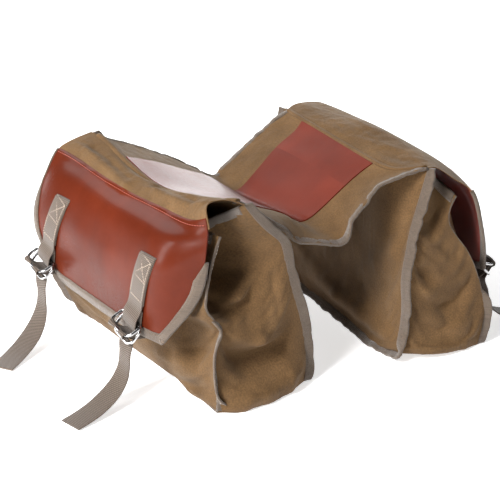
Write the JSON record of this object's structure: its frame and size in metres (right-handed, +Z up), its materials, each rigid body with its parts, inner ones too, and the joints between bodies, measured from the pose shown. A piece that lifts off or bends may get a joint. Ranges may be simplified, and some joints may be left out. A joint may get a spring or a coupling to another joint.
{
  "type": "saddle bag",
  "caption": "Throw-over pair of canvas panniers joined by a folding bridge, with leather-faced flaps closed by webbing straps and D-rings.",
  "frame": {"origin": "centre of the bounding box at its base, on the surface the bags stand on", "axes": "+X from bag A to bag B, +Z up, -Y the near ends of the bags"},
  "size_m": [0.6548, 0.3532, 0.2419],
  "materials": {
    "canvas": "matt olive-brown cotton canvas",
    "leather": "glossy brown coated leather",
    "binding_tape": "grey-khaki woven binding tape",
    "webbing": "grey-khaki ribbed webbing",
    "ring_steel": "bright nickel-plated steel wire"
  },
  "bodies": {
    "bag_a": {"bag_a_front_panel": "canvas", "bag_a_back_panel": "canvas", "bag_a_gusset": "canvas", "bag_a_front_seam_binding": "binding_tape", "bag_a_back_seam_binding": "binding_tape", "bag_a_mouth_binding": "binding_tape", "strap_a_near": "webbing", "strap_a_far": "webbing"},
    "bridge_a": {"bridge_a_canvas": "canvas", "bridge_a_leather": "leather", "bridge_a_binding": "binding_tape"},
    "flap_a": {"flap_a_canvas": "canvas", "flap_a_leather": "leather", "flap_a_binding": "binding_tape", "ring_tab_a_near": "webbing", "ring_tab_a_far": "webbing"},
    "upper_ring_a_near": {"upper_ring_a_near": "ring_steel"},
    "lower_ring_a_near": {"lower_ring_a_near": "ring_steel"},
    "upper_ring_a_far": {"upper_ring_a_far": "ring_steel"},
    "lower_ring_a_far": {"lower_ring_a_far": "ring_steel"},
    "bag_b": {"bag_b_front_panel": "canvas", "bag_b_back_panel": "canvas", "bag_b_gusset": "canvas", "bag_b_front_seam_binding": "binding_tape", "bag_b_back_seam_binding": "binding_tape", "bag_b_mouth_binding": "binding_tape", "strap_b_near": "webbing", "strap_b_far": "webbing"},
    "bridge_b": {"bridge_b_canvas": "canvas", "bridge_b_leather": "leather", "bridge_b_binding": "binding_tape"},
    "flap_b": {"flap_b_canvas": "canvas", "flap_b_leather": "leather", "flap_b_binding": "binding_tape", "ring_tab_b_near": "webbing", "ring_tab_b_far": "webbing"},
    "upper_ring_b_near": {"upper_ring_b_near": "ring_steel"},
    "lower_ring_b_near": {"lower_ring_b_near": "ring_steel"},
    "upper_ring_b_far": {"upper_ring_b_far": "ring_steel"},
    "lower_ring_b_far": {"lower_ring_b_far": "ring_steel"}
  },
  "joints": [
    {"name": "bridge_spread", "type": "hinge", "parent": "bag_a", "child": "bridge_a", "pos_m": [-0.14355, 0.00498, 0.236], "axis": [0.0976, -0.9952, 0], "range_deg": [-8, 28]},
    {"name": "bridge_valley", "type": "hinge", "parent": "bridge_a", "child": "bridge_b", "pos_m": [-0.003, 0.00402, 0.157], "axis": [0.0111, 0.9981, -0.0613], "range_deg": [-19, 66]},
    {"name": "bridge_seam_b", "type": "hinge", "parent": "bridge_b", "child": "bag_b", "pos_m": [0.09723, 0.00047, 0.228], "axis": [-0.0976, -0.9952, 0], "range_deg": [-11, 38]},
    {"name": "flap_a_open", "type": "hinge", "parent": "bag_a", "child": "flap_a", "pos_m": [-0.14355, 0.00498, 0.236], "axis": [-0.0976, 0.9952, 0], "range_deg": [0, 120], "deforming": ["strap_a_near", "strap_a_far"]},
    {"name": "flap_b_open", "type": "hinge", "parent": "bag_b", "child": "flap_b", "pos_m": [0.09723, 0.00047, 0.228], "axis": [-0.0976, -0.9952, 0], "range_deg": [0, 120], "deforming": ["strap_b_near", "strap_b_far"]},
    {"name": "upper_ring_a_near_swing", "type": "hinge", "parent": "flap_a", "child": "upper_ring_a_near", "pos_m": [-0.23031, -0.08369, 0.1009], "axis": [-0.0943, 0.9613, 0.2588], "range_deg": [-20, 60]},
    {"name": "lower_ring_a_near_swing", "type": "hinge", "parent": "flap_a", "child": "lower_ring_a_near", "pos_m": [-0.23046, -0.08214, 0.0951], "axis": [-0.0943, 0.9613, 0.2588], "range_deg": [-21, 61]},
    {"name": "upper_ring_a_far_swing", "type": "hinge", "parent": "flap_a", "child": "upper_ring_a_far", "pos_m": [-0.24962, 0.11321, 0.10785], "axis": [-0.0928, 0.9465, 0.309], "range_deg": [-20, 60]},
    {"name": "lower_ring_a_far_swing", "type": "hinge", "parent": "flap_a", "child": "lower_ring_a_far", "pos_m": [-0.2498, 0.11506, 0.10215], "axis": [-0.0928, 0.9465, 0.309], "range_deg": [-21, 61]},
    {"name": "upper_ring_b_near_swing", "type": "hinge", "parent": "flap_b", "child": "upper_ring_b_near", "pos_m": [0.22597, -0.10963, 0.08594], "axis": [-0.0976, -0.9952, 0], "range_deg": [-20, 60]},
    {"name": "lower_ring_b_near_swing", "type": "hinge", "parent": "flap_b", "child": "lower_ring_b_near", "pos_m": [0.22691, -0.10972, 0.08001], "axis": [-0.0976, -0.9952, 0], "range_deg": [-21, 61]},
    {"name": "upper_ring_b_far_swing", "type": "hinge", "parent": "flap_b", "child": "upper_ring_b_far", "pos_m": [0.24491, 0.08345, 0.08594], "axis": [-0.0976, -0.9952, 0], "range_deg": [-20, 60]},
    {"name": "lower_ring_b_far_swing", "type": "hinge", "parent": "flap_b", "child": "lower_ring_b_far", "pos_m": [0.24584, 0.08335, 0.08001], "axis": [-0.0976, -0.9952, 0], "range_deg": [-21, 61]}
  ],
  "couplings": [
    {"joint": "bridge_valley", "follows": "bridge_spread", "ratio": 2.33},
    {"joint": "bridge_seam_b", "follows": "bridge_spread", "ratio": 1.33},
    {"joint": "lower_ring_a_near_swing", "follows": "upper_ring_a_near_swing", "ratio": 1},
    {"joint": "lower_ring_a_far_swing", "follows": "upper_ring_a_far_swing", "ratio": 1},
    {"joint": "lower_ring_b_near_swing", "follows": "upper_ring_b_near_swing", "ratio": 1},
    {"joint": "lower_ring_b_far_swing", "follows": "upper_ring_b_far_swing", "ratio": 1}
  ]
}
